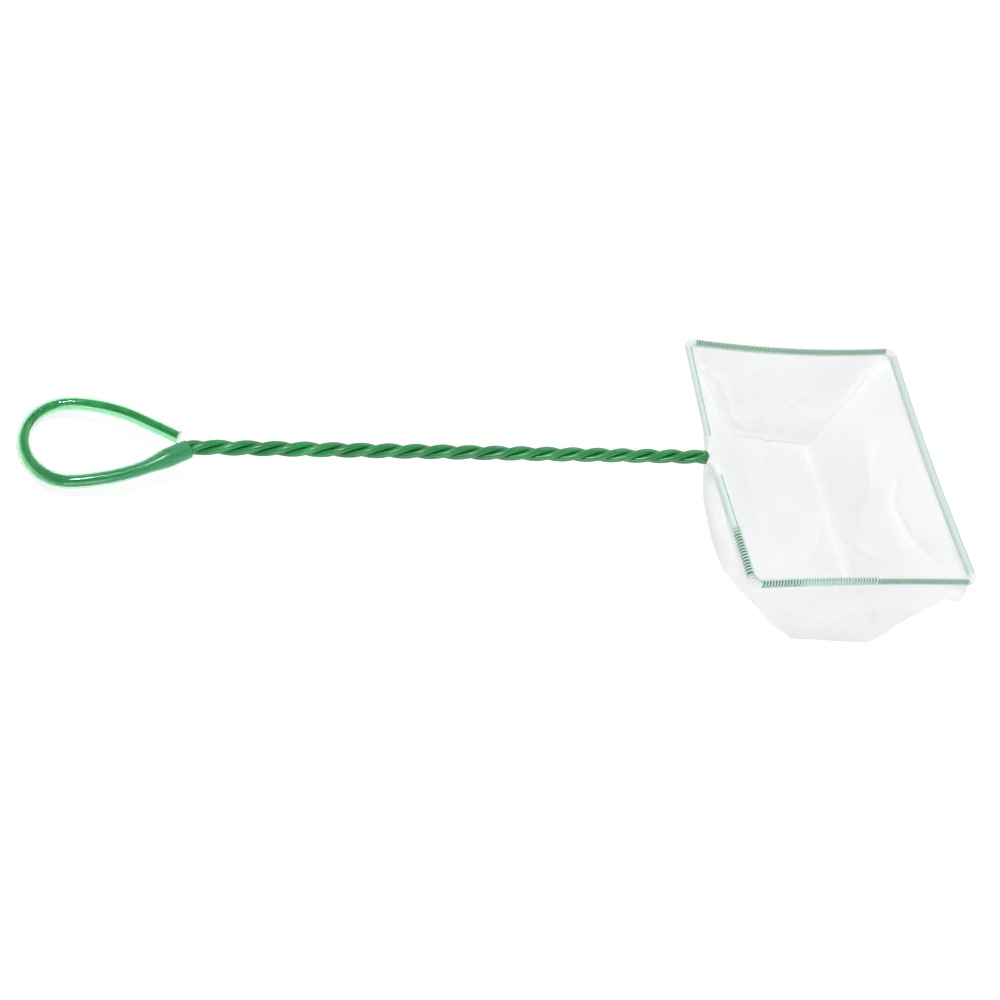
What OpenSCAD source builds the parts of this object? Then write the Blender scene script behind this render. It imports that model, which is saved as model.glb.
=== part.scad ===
// Aquarium fish net: a mesh bag on a bent wire mouth, with a twisted wire handle and a finger loop.
// The net lies at rest. Its bag stands open on its flat bottom, and the loop's tip touches the same surface.
// The origin is on that surface, under the middle of the net. +X points from the loop to the bag, +Z up.
// The wire is laid out flat in the plane of the mouth, x from the loop to the bag, and then leant back.

/* [Mouth] */
// Length of the mouth along the handle, centre to centre of the wire
mouth_l = 110; // [80:1:150]
// Width of the mouth across the handle, centre to centre of the wire
mouth_w = 127; // [90:1:170]
// Bend radius of the four corners, at the centre of the wire
corner_r = 4; // [3:0.5:8]
// How far the far side is bowed inwards at its middle
far_bow = 2.6; // [0.6:0.1:5]
// How far the near side is bowed inwards at its middle
near_bow = 0.8; // [0.4:0.1:5]
// How far the end side, across from the handle, is bowed inwards at its middle
end_bow = 1.4; // [0.4:0.1:5]
// How far the neck stands out towards the handle
neck_out = 2.4; // [1:0.2:6]

/* [Wire] */
// Diameter of the wire over its vinyl coat
wire_d = 2.85; // [2.4:0.05:3.4]
// Diameter of the steel core
core_d = 1.9; // [1.2:0.1:2]
// Fit between the core and the coat, all round
core_fit = 0.02; // [0.01:0.01:0.05]

/* [Handle] */
// Length of the straight twist of three strands
twist_l = 219; // [120:1:320]
// Length along the handle in which a strand goes once round
twist_lay = 34.55; // [28:0.05:48]
// Space left between the strands, centre to centre, over their diameter
strand_gap = 0.2; // [0.18:0.02:0.4]
// Length from the twist to the neck's outermost point
neck_lead = 3.9; // [3:0.1:6]
// Half of the space that the two mouth strands take up as they part at the neck
neck_half = 8; // [7:0.5:12]
// How far the strands stay twisted past the bend where the loop leaves the handle's line
tail_l = 13; // [11:0.5:18]

/* [Finger loop] */
// Length of the loop from the end of the straight twist to the middle of its tip bend
loop_run = 47.5; // [44:0.5:60]
// Bend radius of the tip, at the centre of the wire
loop_r = 18; // [16:0.1:22]
// How far the loop lies to the far side of the handle's line
loop_shift = 1.8; // [0:0.1:3]
// Bend radius where the loop leaves the handle's line
throat_r = 12; // [10:1:16]
// Angle that the loop turns through there
loop_angle = 28; // [26:0.5:32]
// Distance of the loop's free end from the end of the straight twist
free_back = 8.4; // [7.6:0.2:12]
// Distance of the loop's free end from the handle's line
free_out = 5.4; // [5.2:0.1:8]

/* [Grip sleeve] */
// Outside diameter of the soft tube over the loop
sleeve_d = 5.6; // [5.4:0.1:7]
// Bore of the tube
sleeve_bore = 4.2; // [3.8:0.1:4.6]
// Clearance left where the tube hangs on the wire
sleeve_hang = 0.2; // [0.15:0.05:0.4]
// Clearance of the tube where it is stretched over the cut ends of the strands
mouth_fit = 0.1; // [0.08:0.01:0.2]
// Wall of the tube there
mouth_wall = 0.5; // [0.4:0.05:0.7]
// Length of the tube past the wire's free end
sleeve_over = 0.9; // [0.5:0.1:2]

/* [Hem] */
// Thickness of the folded cloth round the mouth wire
hem_t = 0.25; // [0.2:0.05:0.5]
// Clearance of the cloth round the wire
hem_fit = 0.05; // [0.04:0.01:0.1]
// Extra thickness where the cloth is gathered
gather_t = 0.45; // [0.2:0.05:0.8]
// Length of the gathered cloth on each side of the neck
neck_gather_l = 5; // [3:0.5:10]

/* [Bag] */
// Depth of the bag, square to the mouth, at the edge of its bottom that is nearest the handle
bag_depth = 64; // [45:1:90]
// Length of the flat bottom along the handle
bottom_l = 48; // [34:1:70]
// Width of the flat bottom
bottom_w = 112; // [70:1:120]
// How far the bottom's handle edge lies from the middle of the mouth, towards the handle
bottom_back = 5; // [0:1:20]
// How far the wall on the handle's side swells out, where it is fullest
wall_swell = 8.3; // [0:0.1:12]
// Thickness of the cloth
cloth_t = 0.4; // [0.3:0.05:0.8]
// Diameter of the rolled seams inside the bag
seam_d = 1; // [0.8:0.1:1.6]
// Clearance between one piece of cloth and the next
cloth_fit = 0.04; // [0.02:0.01:0.1]

/* [Hidden] */

steel = [0.62, 0.63, 0.64];
green = [0.13, 0.50, 0.29];
clear_green = [0.35, 0.80, 0.52, 0.6];
white = [0.95, 0.96, 0.97];

// Smoothness of the hem's round sections, its corners and its long shallow sides
round_fn = 32;
bend_fn = 96;
bow_fn = 720;

// How the walls of the bag curve in, as powers of the depth: one is a straight wall, more is a fuller one
far_corner_power = 1.03;
near_corner_power = 1.35;
swell_power = 1.78;
end_wall_power = 1.1;
side_wall_power = 1.41;
// Where the handle's wall swells out: its fullest place and its reach as shares of the half width, how near
// the corners hold it in, and its fullest depth
swell_place_share = -0.49;
swell_reach_share = 1.24;
corner_hold_share = 0.25;
near_hold_share = 0.4;
swell_depth_share = 0.45;
// Shoulder of the loop's free arm, as a share of the largest bend that still leaves a straight arm
shoulder_share = 0.85;
// Turn of strand a about the handle's line where the twist ends at the neck, and from one strand to the next
neck_turn = -17;
strand_step = 120;
// How strongly the ends of the strands pull towards their directions, as shares of the distance spanned
ease_share = 0.36;
// Where the rolled seams start in the first row of the walls, and where the wall steps down under the neck
seam_start_share = 0.5;
neck_notch_share = 0.17;

// Where strands b and c are cut, and where the tube starts and has narrowed, as shares of the twisted tail
end_b_share = 1;
end_c_share = 0.7;
sleeve_start_share = 0.39;
narrow_share = 1.5;

// Steps along each piece of faceted work
steps_per_turn = 12;
tail_steps = 6;
ease_steps = 6;
wire_sides = 8;
sleeve_sides = 16;
far_steps = 10;
end_steps = 8;
near_steps = 6;
corner_steps = 6;
shoulder_steps = 5;
tip_steps = 16;
wall_columns = 12;
wall_rows = 8;
seam_sides = 6;

// Mouth, in its own plane, with the middle of the mouth at zero
half_l = mouth_l / 2;
half_w = mouth_w / 2;
corner_x = half_l - corner_r;
corner_y = half_w - corner_r;
far_reach = bow_reach(corner_x, far_bow);
near_reach = bow_reach(corner_x, near_bow);
end_reach = bow_reach(corner_y, end_bow);
far_turn = asin(corner_x / far_reach);
near_turn = asin(corner_x / near_reach);
end_turn = asin(corner_y / end_reach);
neck_x = -half_l - neck_out;
side_dx = -corner_x - neck_x;
side_dy = corner_y - neck_half;
side_d = norm([side_dx, side_dy]);
side_angle = atan2(side_dy, side_dx) + asin(corner_r / side_d);
side_l = sqrt(side_d * side_d - corner_r * corner_r);

// Handle: three strands wind about the handle's line
last_x = neck_x - neck_lead;
throat_x = last_x - twist_l;
strand_r = (wire_d + strand_gap) / sqrt(3);
turn_rate = 360 / twist_lay;
climb = strand_r * turn_rate * PI / 180;

// Loop: a bend off the handle's line, a straight arm, a shoulder, the tip, and an arm back to the free end
tip_centre_x = throat_x - loop_run;
near_y = loop_shift - loop_r;
throat_l = throat_r * loop_angle * PI / 180;
throat_end = [throat_x - throat_r * sin(loop_angle), -throat_r * (1 - cos(loop_angle))];
near_corner_x = throat_end[0] - (throat_end[1] - near_y) / tan(loop_angle);
near_shoulder_r = (near_corner_x - tip_centre_x) / tan(loop_angle / 2);
free_x = throat_x - free_back;
free_run = free_x - tip_centre_x;
free_drop = loop_r + loop_shift - free_out;
free_shoulder_r = shoulder_share * (free_run * free_run + free_drop * free_drop) / (2 * free_drop);
free_slope = arm_slope(free_run, free_drop, free_shoulder_r);
free_way = [cos(free_slope), -sin(free_slope), 0];
near_way = [-cos(loop_angle), -sin(loop_angle), 0];

// The tube is wider than the wire in it, and hangs on it
sleeve_drop = (sleeve_bore - wire_d) / 2 - sleeve_hang;
sleeve_r = sleeve_d / 2;
mouth_bore = 2 * (strand_r + mouth_fit) + wire_d;
mouth_d = mouth_bore + 2 * mouth_wall;
core_bore_d = core_d + 2 * core_fit;
hem_bore_d = wire_d + 2 * hem_fit;
hem_d = hem_bore_d + 2 * hem_t;
gather_d = hem_d + 2 * gather_t;

// Lean: both the tip of the sleeve and the bottom of the bag touch the surface at zero
tip_x = tip_centre_x - loop_r;
rest_run = -bottom_back - tip_x;
rest_depth = bag_depth - sleeve_drop;
lean = acos(sleeve_r / norm([rest_run, rest_depth])) - atan2(rest_run, rest_depth);
lift = sleeve_r + sleeve_drop * cos(lean) - tip_x * sin(lean);
low_x = tip_x * cos(lean) + sleeve_drop * sin(lean) - sleeve_r;
high_x = corner_x * cos(lean) + corner_r * cos(lean) + gather_d / 2;
centre_x = (low_x + high_x) / 2;

// Bag, in the resting frame
bottom_x = rest_point([-bottom_back, 0, -bag_depth])[0];
corner_inset = corner_r * (1 - cos(45));
seam_off = cloth_t + cloth_fit + seam_d / 2;
side_limit = corner_x / (half_l - corner_inset);
across_limit = corner_y / (half_w - corner_inset);
neck_limit = (neck_half + neck_gather_l) / (half_w - corner_inset);

// Radius of a bowed side plus that of its corner, from half the distance of the corners' centres
function bow_reach(half, bow) = (half * half + bow * bow) / (2 * bow);

// Slope of a straight loop arm that touches its shoulder bend
function arm_slope(run, drop, r) =
    let (d = norm([run, drop - r]))
    asin(r / d) - atan2(r - drop, run);

// A point of the mouth's plane in the resting frame
function rest_point(p) =
    [p[0] * cos(lean) - p[2] * sin(lean) - centre_x, p[1], p[0] * sin(lean) + p[2] * cos(lean) + lift];

function mix(a, b, t) = a + (b - a) * t;
function unit(v) = v / norm(v);
function spans(n) = [for (i = [0:n]) i / n];

// A smooth curve from p to q that leaves along u and arrives along v
function eased(p, u, q, v, steps) =
    let (pull = ease_share * norm(q - p), a = p + pull * u, b = q - pull * v)
    [for (t = spans(steps))
        (1 - t) ^ 3 * p + 3 * t * (1 - t) ^ 2 * a + 3 * t ^ 2 * (1 - t) * b + t ^ 3 * q];

// Handle's line, by the distance from its neck end: a point of it, its direction and the way to its far side
function bend_at(u) = min(max((u - twist_l) / throat_r * 180 / PI, 0), loop_angle);
function line_point(u) =
    let (bend = bend_at(u), rest = max(u - twist_l - throat_l, 0))
    [last_x - min(u, twist_l) - throat_r * sin(bend), -throat_r * (1 - cos(bend)), 0] + rest * near_way;
function line_way(u) = [-cos(bend_at(u)), -sin(bend_at(u)), 0];
function line_side(u) = [-sin(bend_at(u)), cos(bend_at(u)), 0];
function smooth(t) = t * t * (3 - 2 * t);

// Place of strand k in the twist. Strand a, whose k is zero, comes in to the line past the others' cut ends.
function strand_point(k, u) =
    let (
        turn = neck_turn + k * strand_step + turn_rate * u,
        share = min(max((u - twist_l - tail_l) / (narrow_share * tail_l - tail_l), 0), 1),
        r = strand_r * (1 - smooth(share))
    )
    line_point(u) + r * cos(turn) * line_side(u) + [0, 0, r * sin(turn)];

// Route of a strand from its end at the loop to its end at the neck. Strand c, whose side is 0, is cut there.
function strand_end(k) = twist_l + tail_l * (k == 0 ? narrow_share : k == -1 ? end_b_share : end_c_share);
function strand_way(k, u) =
    let (turn = neck_turn + k * strand_step + turn_rate * u)
    unit([1, climb * sin(turn), -climb * cos(turn)]);
function strand_arrive(side) = [cos(side_angle), side * sin(side_angle), 0];
function strand_route(k, side) =
    let (
        far = strand_end(k),
        steps = round(far / twist_lay * steps_per_turn),
        twist = [for (t = spans(steps)) strand_point(k, far * (1 - t))],
        finish = [neck_x, side * neck_half, 0],
        tail = eased(twist[steps], strand_way(k, 0), finish, strand_arrive(side), ease_steps)
    )
    side == 0 ? twist : concat(twist, [for (i = [1:ease_steps]) tail[i]]);

// Points along an arc in the plane of the mouth
function arc(centre, r, from, to, steps) = [
    for (t = spans(steps))
        let (turn = mix(from, to, t))
        [centre[0] + r * cos(turn), centre[1] + r * sin(turn), 0]
];
function reversed(list) = [for (i = [len(list) - 1:-1:0]) list[i]];
// Stretches joined end to end, each starting where the one before it stops
function chain(stretches) = [
    for (i = [0:len(stretches) - 1])
        for (k = [i == 0 ? 0 : 1:1:len(stretches[i]) - 1])
            stretches[i][k]
];

// Route of the loop wire, from its free end round the shoulder, the tip and the near shoulder to strand a
tip_centre = [tip_centre_x, loop_shift];
near_point = line_point(twist_l + narrow_share * tail_l);
loop_route = chain([
    [[free_x, free_out, 0]],
    concat([tip_centre], arc([tip_centre_x, loop_shift + loop_r - free_shoulder_r], free_shoulder_r,
        90 - free_slope, 90, shoulder_steps)),
    arc(tip_centre, loop_r, 90, 270, tip_steps),
    arc([tip_centre_x, near_y + near_shoulder_r], near_shoulder_r, 270, 270 + loop_angle, shoulder_steps),
    [near_point, near_point]
]);

// Route of the mouth wire, from the far side of the neck round to its near side
far_centre = [0, corner_y + far_reach - far_bow];
near_centre = [0, -corner_y - near_reach + near_bow];
end_centre = [corner_x + end_reach - end_bow, 0];
mouth_route = concat(
    [[neck_x, neck_half, 0]],
    chain([
        arc([-corner_x, corner_y], corner_r, 90 + side_angle, 90 - far_turn, corner_steps),
        arc(far_centre, far_reach - corner_r, 270 - far_turn, 270 + far_turn, far_steps),
        arc([corner_x, corner_y], corner_r, 90 + far_turn, -end_turn, corner_steps),
        arc(end_centre, end_reach - corner_r, 180 - end_turn, 180 + end_turn, end_steps),
        arc([corner_x, -corner_y], corner_r, end_turn, -90 - near_turn, corner_steps),
        arc(near_centre, near_reach - corner_r, 90 - near_turn, 90 + near_turn, near_steps),
        arc([-corner_x, -corner_y], corner_r, 270 + near_turn, 270 - side_angle, corner_steps)
    ]),
    [[neck_x, -neck_half, 0]]
);

// Direction of a route at each of its points. The ends are given, so that they lie square to what they meet.
function route_ways(route, first, last) =
    let (n = len(route) - 1)
    [for (i = [0:n]) i == 0 ? first : i == n ? last : unit(route[i + 1] - route[i - 1])];

// Ring of points round a route point, square to its direction
function ring(p, way, up, r, sides) =
    let (across = unit(cross(way, up)), over = cross(across, way))
    [for (k = [0:sides - 1])
        let (turn = 360 * (k + 0.5) / sides)
        p + r * cos(turn) * across + r * sin(turn) * over];

// Side faces between the rings of a swept surface, from its first point's number
function skin(from, rings, sides, outward) = [
    for (i = [0:rings - 2]) for (k = [0:sides - 1])
        let (
            a = from + i * sides + k, b = from + i * sides + (k + 1) % sides,
            c = a + sides, d = b + sides
        )
        each outward ? [[a, b, d], [a, d, c]] : [[a, d, b], [a, c, d]]
];

// Rod or tube swept along a route, as one closed surface. A bore of zero makes it a rod.
module swept(route, first, last, up, d, bore, sides) {
    n = len(route);
    tapered(route, first, last, up, [for (i = [1:n]) d], [for (i = [1:n]) bore], sides);
}
// The same, with its diameter and its bore at each point of the route
module tapered(route, first, last, up, ds, bores, sides) {
    ways = route_ways(route, first, last);
    n = len(route);
    count = n * sides;
    end = count - sides;
    outer = [for (i = [0:n - 1]) each ring(route[i], ways[i], up, ds[i] / 2, sides)];
    if (bores[0] > 0) {
        inner = [for (i = [0:n - 1]) each ring(route[i], ways[i], up, bores[i] / 2, sides)];
        rims = [
            for (k = [0:sides - 1])
                let (m = (k + 1) % sides)
                each [
                    [k, count + k, count + m], [k, count + m, m],
                    [end + k, count + end + m, count + end + k], [end + k, end + m, count + end + m]
                ]
        ];
        polyhedron(concat(outer, inner), concat(skin(0, n, sides, true), skin(count, n, sides, false), rims));
    } else {
        caps = [for (k = [1:sides - 2]) each [[0, k + 1, k], [end, end + k, end + k + 1]]];
        polyhedron(outer, concat(skin(0, n, sides, true), caps));
    }
}

// Thin wall from a grid of outer points, rows by columns, and the step to its inner face
module wall(outer, step) {
    rows = len(outer);
    columns = len(outer[0]);
    count = rows * columns;
    points = concat([for (r = outer) each r], [for (r = outer) for (p = r) p + step]);
    faces = [
        for (i = [0:rows - 2]) for (j = [0:columns - 2])
            let (a = i * columns + j, b = a + 1, c = a + columns, d = c + 1)
            each [[a, b, d], [a, d, c], [count + a, count + d, count + b], [count + a, count + c, count + d]]
    ];
    rim = concat(
        [for (j = [0:columns - 1]) j],
        [for (i = [1:rows - 1]) i * columns + columns - 1],
        [for (j = [columns - 2:-1:0]) (rows - 1) * columns + j],
        [for (i = [rows - 2:-1:1]) i * columns]
    );
    edge = [
        for (k = [0:len(rim) - 1])
            let (a = rim[k], b = rim[(k + 1) % len(rim)])
            each [[b, a, count + a], [b, count + a, count + b]]
    ];
    polyhedron(points, concat(faces, edge));
}

// Hem along a bend of the mouth, and along a straight length from a distance past the neck's corner
module section(d) {
    difference() {
        circle(d = d, $fn = round_fn);
        circle(d = hem_bore_d, $fn = round_fn);
    }
}
module bent_hem(centre, r, from, to, d, fn) {
    translate([centre[0], centre[1], 0]) rotate([0, 0, from])
        rotate_extrude(angle = to - from, $fn = fn)
            translate([r, 0]) section(d);
}
module straight_hem(side, skip, l, d) {
    mirror([0, side > 0 ? 0 : 1, 0])
        translate([neck_x + skip * cos(side_angle), neck_half + skip * sin(side_angle), 0])
            rotate([0, 0, side_angle]) rotate([0, 90, 0])
                linear_extrude(height = l) section(d);
}

// Places what is laid out in the plane of the mouth in the resting frame
module at_rest() {
    translate([-centre_x, 0, lift]) rotate([0, -lean, 0]) children();
}

// Wire of the mouth in one piece, of a strand of the twist, and of the loop
module mouth_wire(d, bore) {
    swept(mouth_route, strand_arrive(1), -strand_arrive(-1), [0, 0, 1], d, bore, wire_sides);
}
module strand_wire(k, side, d, bore) {
    route = strand_route(k, side);
    n = len(route);
    first = k == 0 ? -near_way : unit(route[1] - route[0]);
    last = side == 0 ? unit(route[n - 1] - route[n - 2]) : strand_arrive(side);
    swept(route, first, last, [0, 0, 1], d, bore, wire_sides);
}
module loop_wire(d, bore) {
    swept(loop_route, -free_way, -near_way, [0, 0, 1], d, bore, wire_sides);
}

module frame_wire_core() { color(steel) at_rest() mouth_wire(core_d, 0); }
module frame_wire_coat() { color(green) at_rest() mouth_wire(wire_d, core_bore_d); }
module handle_core_a() { color(steel) at_rest() strand_wire(0, 1, core_d, 0); }
module handle_core_b() { color(steel) at_rest() strand_wire(-1, -1, core_d, 0); }
module handle_core_c() { color(steel) at_rest() strand_wire(1, 0, core_d, 0); }
module handle_coat_a() { color(green) at_rest() strand_wire(0, 1, wire_d, core_bore_d); }
module handle_coat_b() { color(green) at_rest() strand_wire(-1, -1, wire_d, core_bore_d); }
module handle_coat_c() { color(green) at_rest() strand_wire(1, 0, wire_d, core_bore_d); }
module loop_core() { color(steel) at_rest() loop_wire(core_d, 0); }
module loop_coat() { color(green) at_rest() loop_wire(wire_d, core_bore_d); }

// The tube runs from past the wire's free end round the loop, and widens over the cut ends of the strands
module grip_sleeve() {
    drop = [0, 0, sleeve_drop];
    mouth_share = concat([for (t = spans(tail_steps)) smooth(t)], [1]);
    mouth_u = concat(
        [for (t = spans(tail_steps)) mix(narrow_share * tail_l, tail_l, t)],
        [sleeve_start_share * tail_l]
    );
    round_loop = [for (i = [1:len(loop_route) - 2]) loop_route[i] - drop];
    route = concat(
        [loop_route[0] + sleeve_over * free_way - drop],
        round_loop,
        [for (i = [0:len(mouth_u) - 1]) line_point(twist_l + mouth_u[i]) - (1 - mouth_share[i]) * drop]
    );
    shares = concat([0], [for (p = round_loop) 0], mouth_share);
    ds = [for (t = shares) mix(sleeve_d, mouth_d, t)];
    bores = [for (t = shares) mix(sleeve_bore, mouth_bore, t)];
    last = -line_way(twist_l + sleeve_start_share * tail_l);
    color(clear_green) at_rest() tapered(route, -free_way, last, [0, 0, 1], ds, bores, sleeve_sides);
}

module hem_far() {
    color(white) at_rest()
        bent_hem(far_centre, far_reach - corner_r, 270 - far_turn, 270 + far_turn, hem_d, bow_fn);
}
module hem_near() {
    color(white) at_rest()
        bent_hem(near_centre, near_reach - corner_r, 90 - near_turn, 90 + near_turn, hem_d, bow_fn);
}
module hem_end() {
    color(white) at_rest()
        bent_hem(end_centre, end_reach - corner_r, 180 - end_turn, 180 + end_turn, hem_d, bow_fn);
}
module hem_handle_far() {
    color(white) at_rest() straight_hem(1, neck_gather_l, side_l - neck_gather_l, hem_d);
}
module hem_handle_near() {
    color(white) at_rest() straight_hem(-1, neck_gather_l, side_l - neck_gather_l, hem_d);
}
module corner_gathers() {
    color(white) at_rest() {
        bent_hem([corner_x, corner_y], corner_r, -end_turn, 90 + far_turn, gather_d, bend_fn);
        bent_hem([corner_x, -corner_y], corner_r, -90 - near_turn, end_turn, gather_d, bend_fn);
        bent_hem([-corner_x, corner_y], corner_r, 90 - far_turn, 90 + side_angle, gather_d, bend_fn);
        bent_hem([-corner_x, -corner_y], corner_r, 270 - side_angle, 270 + near_turn, gather_d, bend_fn);
    }
}
module neck_gathers() {
    color(white) at_rest() {
        straight_hem(1, 0, neck_gather_l, gather_d);
        straight_hem(-1, 0, neck_gather_l, gather_d);
    }
}

// How the handle's wall hangs at a place across it: how full it is, its power, and its swell at a depth
function ramp(t) = smooth(min(max(t, 0), 1));
function fullness(s) =
    ramp(1 - abs(s - swell_place_share) / swell_reach_share) * ramp((1 - abs(s)) / corner_hold_share);
function handle_power(s) =
    let (power = mix(far_corner_power, swell_power, fullness(s)))
    mix(power, near_corner_power, ramp(1 - (1 + s) / near_hold_share));
function swell(s, depth) =
    let (fall = 1 / swell_depth_share - 1, most = swell_depth_share * (1 - swell_depth_share) ^ fall)
    wall_swell * fullness(s) * depth * (1 - depth) ^ fall / most;

// Corner lines of the bag at a depth share, in the resting frame. ahead is 1 at the end and -1 at the handle.
function corner_line(ahead, across, depth) =
    let (
        top = rest_point([ahead * (half_l - corner_inset), across * (half_w - corner_inset), -gather_d / 2]),
        edge_x = bottom_x + (ahead > 0 ? bottom_l : 0),
        power = ahead > 0 ? end_wall_power : handle_power(across)
    )
    [
        mix(top[0], edge_x, depth ^ power),
        mix(top[1], across * bottom_w / 2, depth ^ side_wall_power),
        mix(top[2], cloth_t, depth)
    ];

// Places from -1 to 1 along the top edge of a wall. The outermost ones lie under the corner gathers.
function places(limit) = concat([-1], [for (t = spans(wall_columns - 2)) mix(-limit, limit, t)], [1]);
function under(k) = (k > 1 && k < wall_columns - 1 ? hem_d : gather_d) / 2;

// Top edges of the walls, just under the hem and the gathers
function side_top(across, bow, s, low) =
    rest_point([s * (half_l - corner_inset), across * (half_w - mix(bow, corner_inset, s * s)), -low]);
function end_top(s, low) =
    rest_point([half_l - mix(end_bow, corner_inset, s * s), s * (half_w - corner_inset), -low]);
function handle_top(s, low) =
    let (
        x = mix(neck_x, corner_inset - half_l, abs(s)),
        edge = abs(s) < neck_limit ? gather_d / 2 : low,
        notch = wire_d * max(0, 1 - abs(s) / neck_notch_share)
    )
    rest_point([x, s * (half_w - corner_inset), -edge - notch]);

// Outer faces of the walls
function end_face() = let (at = places(across_limit)) [
    for (depth = spans(wall_rows)) [
        for (k = [0:wall_columns])
            let (top = end_top(at[k], under(k)), corner = corner_line(1, 1, depth))
            [
                mix(top[0], bottom_x + bottom_l, depth ^ end_wall_power), at[k] * corner[1],
                mix(top[2], cloth_t, depth)
            ]
    ]
];
function handle_face() = let (at = places(across_limit)) [
    for (depth = spans(wall_rows)) [
        for (k = [0:wall_columns])
            let (top = handle_top(at[k], under(k)))
            [
                mix(top[0], bottom_x, depth ^ handle_power(at[k])) - swell(at[k], depth),
                mix(at[k] * (half_w - corner_inset), at[k] * bottom_w / 2, depth ^ side_wall_power),
                mix(top[2], cloth_t, depth)
            ]
    ]
];
function side_face(across, bow) = let (at = places(side_limit), inset = cloth_t + cloth_fit) [
    for (depth = spans(wall_rows)) [
        for (k = [0:wall_columns])
            let (
                top = side_top(across, bow, at[k], under(k)),
                back = corner_line(-1, across, depth), front = corner_line(1, across, depth)
            )
            [
                mix(back[0] + inset, front[0] - inset, (at[k] + 1) / 2),
                mix(top[1], across * bottom_w / 2, depth ^ side_wall_power), mix(top[2], cloth_t, depth)
            ]
    ]
];

function turned(face) = [for (r = face) reversed(r)];
module strip_handle_wall() { color(white) wall(turned(handle_face()), [cloth_t, 0, 0]); }
module strip_end_wall() { color(white) wall(end_face(), [-cloth_t, 0, 0]); }
module strip_bottom() {
    color(white) translate([bottom_x, -bottom_w / 2, 0]) cube([bottom_l, bottom_w, cloth_t]);
}
module gusset_near() { color(white) wall(side_face(-1, near_bow), [0, cloth_t, 0]); }
module gusset_far() { color(white) wall(turned(side_face(1, far_bow)), [0, -cloth_t, 0]); }

// Rolled seam inside the bag: down one corner, along the bottom and up the other corner
function seam_side(ahead, across) = [
    for (i = [0:wall_rows])
        let (
            depth = i / wall_rows,
            top = corner_line(ahead, across, 0), next = corner_line(ahead, across, 1 / wall_rows),
            p = i == 0 ? mix(top, next, seam_start_share) : corner_line(ahead, across, depth)
        )
        p + [-ahead * seam_off, -across * seam_off, cloth_fit + seam_d / 2]
];
function seam_route(across) =
    let (up = seam_side(1, across))
    concat(seam_side(-1, across), [for (i = [wall_rows:-1:0]) up[i]]);
module seam(across) {
    route = seam_route(across);
    n = len(route);
    first = unit(route[1] - route[0]);
    last = unit(route[n - 1] - route[n - 2]);
    swept(route, first, last, [0, 1, 0], seam_d, 0, seam_sides);
}
module seam_near() { color(white) seam(-1); }
module seam_far() { color(white) seam(1); }

// Least gap between the strands, on their route points
routes = [strand_route(0, 1), strand_route(-1, -1), strand_route(1, 0)];
pair_gap = min([
    for (i = [0:1]) for (j = [i + 1:2]) for (p = routes[i]) for (q = routes[j]) norm(p - q)
]) - wire_d;
echo(pair_gap = pair_gap, lean = lean, centre_x = centre_x, lift = lift, strand_r = strand_r);

frame_wire_core();
frame_wire_coat();
handle_core_a();
handle_core_b();
handle_core_c();
handle_coat_a();
handle_coat_b();
handle_coat_c();
loop_core();
loop_coat();
grip_sleeve();
hem_far();
hem_near();
hem_end();
hem_handle_far();
hem_handle_near();
corner_gathers();
neck_gathers();
strip_handle_wall();
strip_bottom();
strip_end_wall();
gusset_near();
gusset_far();
seam_near();
seam_far();
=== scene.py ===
import math

import bmesh
import bpy
from mathutils import Matrix, Vector, noise


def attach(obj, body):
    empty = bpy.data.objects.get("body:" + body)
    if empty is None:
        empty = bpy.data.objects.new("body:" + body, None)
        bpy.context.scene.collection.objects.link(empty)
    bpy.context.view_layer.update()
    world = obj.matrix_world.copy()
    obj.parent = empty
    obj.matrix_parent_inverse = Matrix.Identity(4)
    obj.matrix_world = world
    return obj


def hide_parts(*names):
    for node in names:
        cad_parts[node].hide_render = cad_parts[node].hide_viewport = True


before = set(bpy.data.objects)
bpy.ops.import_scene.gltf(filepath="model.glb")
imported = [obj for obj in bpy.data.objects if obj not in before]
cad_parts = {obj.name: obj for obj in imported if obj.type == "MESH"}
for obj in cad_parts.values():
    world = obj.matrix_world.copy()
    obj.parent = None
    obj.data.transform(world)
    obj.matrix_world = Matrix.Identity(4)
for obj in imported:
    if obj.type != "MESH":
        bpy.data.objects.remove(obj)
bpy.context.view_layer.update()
scene = bpy.context.scene
MM = 0.001

# Sizes of the net, as in the part's source
HALF_L = 55 * MM
HALF_W = 63.5 * MM
CORNER_R = 4 * MM
FAR_BOW = 2.6 * MM
NEAR_BOW = 0.8 * MM
END_BOW = 1.4 * MM
NECK_X = -57.4 * MM
NECK_HALF = 8 * MM
NECK_LEAD = 3.9 * MM
NECK_TURN = -17
WIRE_D = 2.85 * MM
CORE_BORE = 1.94 * MM
TWIST_L = 219 * MM
LAY = 34.55 * MM
STRAND_R = 1.761 * MM
TAIL_L = 13 * MM
TAIL_IN = 19.5 * MM
THROAT_R = 12 * MM
LOOP_ANGLE = math.radians(28)
LOOP_RUN = 47.5 * MM
LOOP_R = 18 * MM
LOOP_SHIFT = 1.8 * MM
FREE_BACK = 8.4 * MM
FREE_OUT = 5.4 * MM
SLEEVE_D = 5.6 * MM
SLEEVE_WALL = 0.5 * MM
SLEEVE_MOUTH_D = 7.57 * MM
SLEEVE_START = 5.07 * MM
HEM_R = 1.53 * MM
BOTTOM_X = 149.7 * MM
BOTTOM_L = 48 * MM
BOTTOM_W = 112 * MM

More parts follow.
